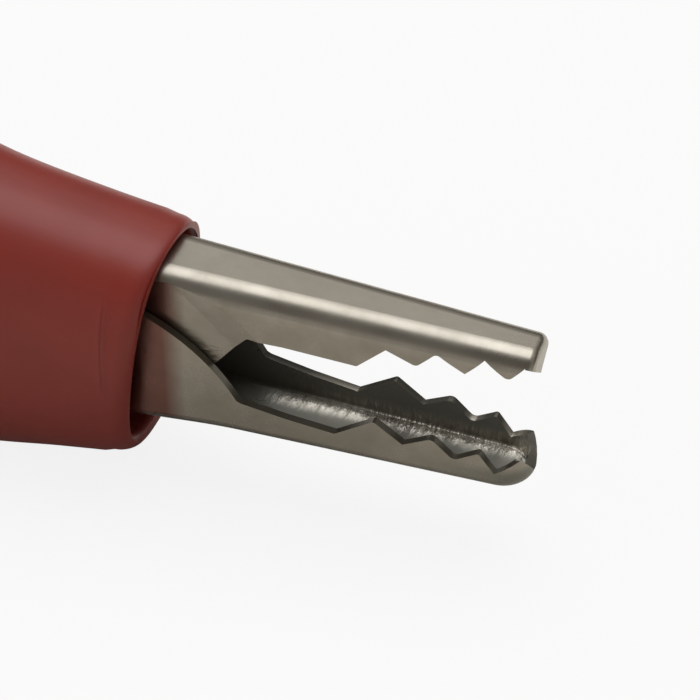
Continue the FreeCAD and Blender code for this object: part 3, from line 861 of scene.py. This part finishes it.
@dataclass
class CoilSpring:
    """The torsion spring: a coil round the rivet and a leg on each handle, in millimetres."""

    pivot_x: float = 3.52
    pivot_z: float = 7.45
    coil_radius: float = 1.45
    wire_radius: float = 0.26
    half_width: float = 1.05
    turns: int = 3
    steps_per_turn: int = 36
    leg_steps: int = 8
    sides: int = 14
    sharp_angle: float = 50.0
    lower_end: Pair = (-4.48, 3.79)
    upper_end: Pair = (-4.08, 12.24)
    finish: TurnedMetal = TurnedMetal("spring_wire", (0.36, 0.36, 0.37), 0.28, even(9000.0))

    def angle_of(self, end: Pair, side: int) -> float:
        """Angle round the coil at which a straight leg leaves it.

        Args:
            end: The leg's far end, as X and Z.
            side: 1 or -1, for the way that the wire winds.

        Returns:
            The angle in radians.
        """
        dx, dz = end[0] - self.pivot_x, end[1] - self.pivot_z
        return math.atan2(dz, dx) + side * math.acos(self.coil_radius / math.hypot(dx, dz))

    def line(self) -> list[Vector]:
        """The wire's middle line from the lower leg to the upper leg, in metres."""
        start = self.angle_of(self.lower_end, 1)
        finish = self.angle_of(self.upper_end, -1) + 2.0 * math.pi * self.turns
        steps = self.steps_per_turn * self.turns
        coil = []
        for i in range(steps + 1):
            share = i / steps
            angle = start + (finish - start) * share
            coil.append(Vector((self.pivot_x + self.coil_radius * math.cos(angle),
                                self.half_width * (2.0 * share - 1.0),
                                self.pivot_z + self.coil_radius * math.sin(angle))))
        low = Vector((self.lower_end[0], -self.half_width, self.lower_end[1]))
        high = Vector((self.upper_end[0], self.half_width, self.upper_end[1]))
        count = self.leg_steps
        legs_in = [low.lerp(coil[0], k / count) for k in range(count)]
        legs_out = [coil[-1].lerp(high, k / count) for k in range(1, count + 1)]
        return [point * MM for point in legs_in + coil + legs_out]

    def build(self) -> bpy.types.Object:
        """Sweep the wire, with its legs reaching to the two handles.

        Returns:
            The spring.
        """
        path = self.line()
        sides = self.sides
        points = []
        for i, point in enumerate(path):
            along = (path[min(i + 1, len(path) - 1)] - path[max(i - 1, 0)]).normalized()
            across = along.cross(Vector((0.0, 1.0, 0.0))).normalized()
            over = across.cross(along)
            for k in range(sides):
                angle = 2.0 * math.pi * k / sides
                spoke = across * math.cos(angle) + over * math.sin(angle)
                points.append(point + spoke * self.wire_radius * MM)
        faces = tube_faces(len(path), sides, closed=False)
        faces.append(tuple(range(sides - 1, -1, -1)))
        faces.append(tuple((len(path) - 1) * sides + k for k in range(sides)))
        spring = make_piece("coil_spring", points, faces)
        shade_smooth(spring, self.sharp_angle)
        dress(spring, self.finish.material())
        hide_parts(Node.SPRING.value)
        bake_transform(spring)
        return spring


@dataclass(frozen=True)
class SoftLamp:
    """One soft lamp: its place and target in metres, its size in metres and its power in watts."""

    name: str
    place: Triple
    target: Triple
    size: Pair
    power: float

    def hang(self) -> bpy.types.Object:
        """Hang the lamp.

        Returns:
            The lamp.
        """
        data = bpy.data.lights.new(self.name, "AREA")
        data.shape = "RECTANGLE"
        data.size, data.size_y = self.size
        data.energy = self.power
        lamp = bpy.data.objects.new(self.name, data)
        lamp.location = self.place
        away = Vector(self.target) - Vector(self.place)
        lamp.rotation_euler = away.to_track_quat("-Z", "Y").to_euler()
        bpy.context.scene.collection.objects.link(lamp)
        return lamp


@dataclass
class Studio:
    """A pale floor, soft lamps, a plain room for reflections and the camera.

    Places are in metres, and the bounds of the floor's painted shadow and painted light, seen only
    in reflections, in millimetres. The room's levels give the brightness by the upward share of the
    direction looked in.
    """

    camera_at: Triple = (0.03907, -0.06596, 0.06458)
    camera_forward: Triple = (-0.2641, 0.7317, -0.6283)
    camera_right: Triple = (0.9406, 0.3395, 0.0)
    lens: float = 115.28
    sensor: float = 36.0
    clip_range: Pair = (0.005, 10.0)
    lamps: tuple[SoftLamp, ...] = (
        SoftLamp("overhead_softbox", (-0.10, 0.115, 0.40), (-0.10, 0.115, 0.0), (0.60, 0.35), 0.86),
        SoftLamp("left_fill", (-0.40, -0.22, 0.24), (0.005, 0.0, 0.008), (0.30, 0.30), 0.60))
    floor_half: float = 2.0
    floor_seen: Colour = (0.92, 0.92, 0.92)
    # floor colours seen only in reflections: a painted shadow in front of the clip and painted
    # light behind it
    floor_front: Colour = (0.62, 0.585, 0.520)
    floor_painted_shadow: Colour = (0.27, 0.250, 0.220)
    floor_painted_light: Colour = (0.95, 0.93, 0.88)
    shadow_from_y: Pair = (-14.0, -3.0)
    shadow_to_x: Pair = (12.0, 24.0)
    painted_light_from_y: Pair = (-1.0, 8.0)
    white_seen: float = 0.86
    white_mirrored: float = 0.06
    room_seam: Pair = (-0.35, 0.35)
    room_warmth: Pair = (0.22, 0.5)
    rear_levels: tuple[Pair, ...] = (
        (0.0, 0.05), (0.30, 0.14), (0.60, 0.52), (0.80, 0.75), (1.0, 0.80))
    front_levels: tuple[Pair, ...] = (
        (0.0, 0.42), (0.30, 0.40), (0.50, 0.15), (0.88, 0.12), (1.0, 0.50))

    def camera(self) -> bpy.types.Object:
        """Place the camera at the photograph's viewing angle.

        Returns:
            The camera.
        """
        forward = Vector(self.camera_forward).normalized()
        right = Vector(self.camera_right).normalized()
        up = right.cross(forward)
        data = bpy.data.cameras.new("product_camera")
        data.lens = self.lens
        data.sensor_width = self.sensor
        data.clip_start, data.clip_end = self.clip_range
        camera = bpy.data.objects.new("product_camera", data)
        turn = Matrix((right, up, -forward)).transposed()
        camera.matrix_world = Matrix.Translation(self.camera_at) @ turn.to_4x4()
        bpy.context.scene.collection.objects.link(camera)
        bpy.context.scene.camera = camera
        return camera

    def floor(self) -> bpy.types.Object:
        """Lay the pale floor, white to the camera but for the clip's shadow, with a painted shadow
        in front of the clip and painted light behind it that only reflections see.

        Returns:
            The floor.
        """
        half = self.floor_half
        floor = make_piece("floor", [(-half, -half, 0), (half, -half, 0), (half, half, 0),
                                     (-half, half, 0)], [(0, 1, 2, 3)])
        graph = NodeGraph("pale_floor")
        seen = graph.node("ShaderNodeLightPath").outputs
        direct = seen["Is Camera Ray"]
        mirrored = graph.math("MAXIMUM", seen["Is Glossy Ray"], seen["Is Transmission Ray"])
        share = graph.math("MAXIMUM", graph.times(direct, self.white_seen),
                           graph.times(mirrored, self.white_mirrored))
        # painted shadow in front of the clip and painted light behind it, seen only by reflected
        # rays
        depth = graph.axis("Y")
        shadow_share = graph.times(graph.ramp(depth, *self.shadow_from_y),
                            graph.fall(graph.axis("X"), *self.shadow_to_x))
        painted_floor_shades = graph.mix(shadow_share, self.floor_front, self.floor_painted_shadow)
        painted_floor_shades = graph.mix(graph.ramp(depth, *self.painted_light_from_y), painted_floor_shades, self.floor_painted_light)
        matt = graph.node("ShaderNodeBsdfDiffuse", Color=graph.mix(direct, painted_floor_shades, self.floor_seen))
        white = graph.node("ShaderNodeEmission", Color=WHITE, Strength=1.0)
        both = graph.node("ShaderNodeMixShader", Fac=share)
        graph.feed(both.inputs[1], matt.outputs[0])
        graph.feed(both.inputs[2], white.outputs[0])
        floor.data.materials.append(graph.finish(both))
        return floor

    def elevation_ramp(self, tree: bpy.types.NodeTree, height: bpy.types.NodeSocket,
                       stops: Sequence[Pair]) -> bpy.types.NodeSocket:
        """One side of the room, from its horizon to overhead, in a warm grey.

        Args:
            tree: The world's node tree.
            height: Upward share of the direction looked in.
            stops: Brightness by that share.

        Returns:
            The colour seen there.
        """
        ramp = tree.nodes.new("ShaderNodeValToRGB")
        ramp.color_ramp.interpolation = "EASE"
        points = ramp.color_ramp.elements
        while len(points) < len(stops):
            points.new(0.5)
        less_blue, green_part = self.room_warmth
        for point, (place, level) in zip(points, stops):
            warm = max(0.0, 1.0 - level) * less_blue
            point.position = place
            point.color = (level, level * (1.0 - warm * green_part), level * (1.0 - warm), 1.0)
        tree.links.new(height, ramp.inputs[0])
        return ramp.outputs[0]

    def room(self) -> None:
        """Fill the world: white to the camera, and a dimmer, uneven room to the metal."""
        world = bpy.data.worlds.new("soft_room")
        world.use_nodes = True
        tree = world.node_tree
        tree.nodes.clear()
        place = tree.nodes.new("ShaderNodeTexCoord")
        split = tree.nodes.new("ShaderNodeSeparateXYZ")
        tree.links.new(place.outputs["Generated"], split.inputs[0])
        side = tree.nodes.new("ShaderNodeMapRange")
        tree.links.new(split.outputs["Y"], side.inputs[0])
        side.inputs[1].default_value, side.inputs[2].default_value = self.room_seam
        colour = tree.nodes.new("ShaderNodeMix")
        colour.data_type = "RGBA"
        tree.links.new(side.outputs[0], colour.inputs[MIX_SHARE])
        for socket, levels in ((MIX_FIRST, self.front_levels), (MIX_SECOND, self.rear_levels)):
            wall = self.elevation_ramp(tree, split.outputs["Z"], levels)
            tree.links.new(wall, colour.inputs[socket])
        room = tree.nodes.new("ShaderNodeBackground")
        tree.links.new(colour.outputs[MIX_RESULT], room.inputs["Color"])
        white = tree.nodes.new("ShaderNodeBackground")
        white.inputs["Color"].default_value = (*WHITE, 1.0)
        for light in (room, white):
            light.inputs["Strength"].default_value = 1.0
        seen = tree.nodes.new("ShaderNodeLightPath")
        both = tree.nodes.new("ShaderNodeMixShader")
        for index, source in enumerate((seen.outputs["Is Camera Ray"], room.outputs[0],
                                        white.outputs[0])):
            tree.links.new(source, both.inputs[index])
        output = tree.nodes.new("ShaderNodeOutputWorld")
        tree.links.new(both.outputs[0], output.inputs["Surface"])
        bpy.context.scene.world = world

    def build(self) -> None:
        """Set up the camera, the lamps, the floor and the room."""
        self.camera()
        for lamp in self.lamps:
            lamp.hang()
        self.floor()
        self.room()
        bpy.context.scene.view_settings.view_transform = "Standard"


def main() -> None:
    """Build the clip around its frame."""
    logging.basicConfig(level=logging.INFO, format="%(name)s: %(message)s")
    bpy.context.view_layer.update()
    for jaw in JawPair().build():
        log.info("dressed %s", jaw.name)
    for fixing in Fixings().build():
        log.info("dressed %s", fixing.name)
    log.info("built %s", SleeveBoot().build().name)
    log.info("built %s", CoilSpring().build().name)
    Studio().build()
    log.info("studio ready")


if __name__ == "__main__":
    main()
